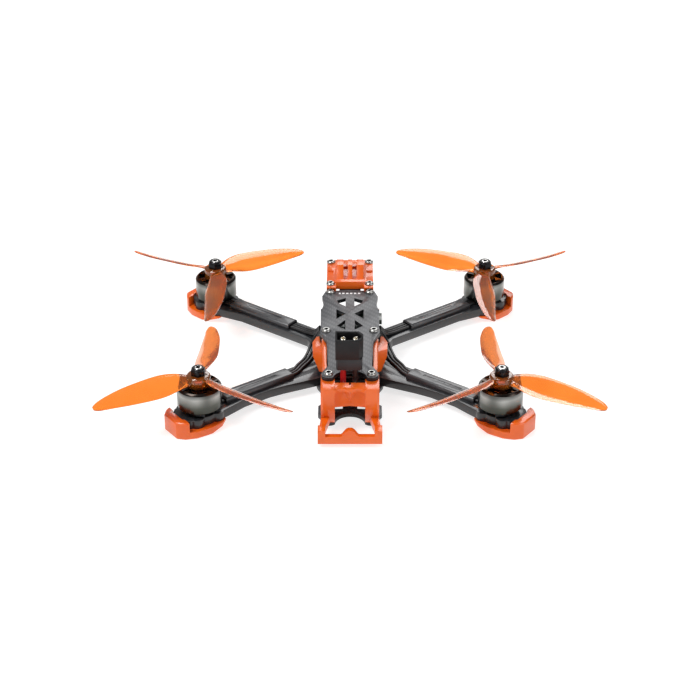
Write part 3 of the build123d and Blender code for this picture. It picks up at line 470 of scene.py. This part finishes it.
# ---------------------------------------------------------------- camera, floor, light
def camera():
    data = bpy.data.cameras.new("camera")
    data.sensor_width = 36.0
    data.lens = LENS
    obj = bpy.data.objects.new("camera", data)
    obj.location = CAMERA_PLACE
    obj.rotation_euler = (radians(90.0 - CAMERA_DOWN), 0.0, 0.0)
    bpy.context.scene.collection.objects.link(obj)
    bpy.context.scene.camera = obj


def area_light(name, place, size, power):
    """A square white light aimed at the ground under the drone."""
    data = bpy.data.lights.new(name, "AREA")
    data.energy = power
    data.size = size
    obj = bpy.data.objects.new(name, data)
    obj.location = place
    obj.rotation_euler = (Vector(ORIGIN) - Vector(place)).to_track_quat("-Z", "Y").to_euler()
    bpy.context.scene.collection.objects.link(obj)


def studio():
    mesh = bpy.data.meshes.new("floor")
    corners = [(x * FLOOR_HALF, y * FLOOR_HALF, 0) for x, y in ((-1, -1), (1, -1), (1, 1), (-1, 1))]
    mesh.from_pydata(corners, [], [(0, 1, 2, 3)])
    floor = bpy.data.objects.new("floor", mesh)
    bpy.context.scene.collection.objects.link(floor)
    s = Shader("floor_white", Roughness=0.95, Emission_Color=(1.0, 1.0, 1.0, 1.0),
               Emission_Strength=FLOOR_GLOW)
    s.set("Base Color", s.ramp(s.noise(3.0), (0.3, (0.46, 0.46, 0.46)), (0.7, (0.48, 0.48, 0.48))))
    mesh.materials.append(s.material)
    world = bpy.data.worlds.new("studio")
    bpy.context.scene.world = world
    world.use_nodes = True
    background = world.node_tree.nodes["Background"]
    background.inputs["Color"].default_value = (1.0, 1.0, 1.0, 1.0)
    background.inputs["Strength"].default_value = SKY
    area_light("key", (-0.55, -0.35, 0.95), 0.5, 9.0)
    area_light("fill", (0.75, -0.45, 0.55), 0.4, 2.6)
    area_light("back", (0.15, 0.85, 0.75), 0.6, 5.0)
    bpy.context.scene.view_settings.view_transform = "Standard"


# ---------------------------------------------------------------- leads of the battery connector
# In millimetres: the leads' diameter, how far each is from their middle line, and that line's x.
LEAD_D, LEAD_X, LEAD_MIDDLE = 3.4, 3.6, -0.4
CONNECTOR_FOOT, CONNECTOR_LEAN = (-72.0, 41.3), radians(17.0)


def lead_route():
    """The route's points (y, z) in millimetres, from the speed controller to the connector."""
    route = [(-18.0, 20.8), (-34.0, 19.0), (-50.0, 17.4), (-62.0, 19.0), (-71.0, 29.5)]
    foot_y, foot_z = CONNECTOR_FOOT
    for along in (-4.0, 3.0):
        route.append((foot_y - along * sin(CONNECTOR_LEAN), foot_z + along * cos(CONNECTOR_LEAN)))
    return route


def battery_lead(colour, side):
    curve = bpy.data.curves.new(f"battery_lead_{colour}_soft", "CURVE")
    curve.dimensions = "3D"
    curve.bevel_depth = LEAD_D / 2 * MM
    curve.bevel_resolution = 8
    curve.resolution_u = 16
    curve.use_fill_caps = True
    spline = curve.splines.new("NURBS")
    x = (side * LEAD_X + LEAD_MIDDLE) * MM
    route = lead_route()
    spline.points.add(len(route) - 1)
    for point, (y, z) in zip(spline.points, route):
        point.co = (x, y * MM, z * MM, 1.0)
    spline.order_u = 3
    spline.use_endpoint_u = True
    obj = bpy.data.objects.new(f"battery_lead_{colour}_soft", curve)
    bpy.context.scene.collection.objects.link(obj)
    dress(obj, f"wire_{colour}")
    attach(obj, "airframe")
    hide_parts(f"battery_lead_{colour}")


# ---------------------------------------------------------------- build
camera()
studio()
connector = [rounded("xt60_housing", 0.35), rounded("xt60_cover", 0.5), rounded("xt60_pins", 0.25)]
battery_lead("red", -1)
battery_lead("black", 1)

# How wide each node's sharp edges are rounded, in millimetres.
EDGES = {"top_plate": 0.12, "bottom_plate": 0.12, "mid_plate": 0.12, "front_mount": 0.5, "tail_mount": 0.9,
         "side_panel_left": 0.5, "side_panel_right": 0.5, "camera_side_plate_left": 0.2,
         "camera_side_plate_right": 0.2, "esc_board": 0.1, "flight_controller": 0.12,
         "fpv_camera": 0.3}
for corner in CORNERS:
    EDGES.update({f"arm_{corner}": 0.5, f"wire_cover_{corner}": 0.25, f"arm_guard_{corner}": 0.7,
                  f"prop_nut_{corner}": 0.2, f"motor_bell_{corner}": 0.2, f"motor_base_{corner}": 0.15,
                  f"propeller_{corner}": 0.2})
for node, width in EDGES.items():
    rounded(node, width)
screws()
coils()

for node, obj in NODES.items():
    dress(obj, look_of(node))
    shade(obj, 35.0)
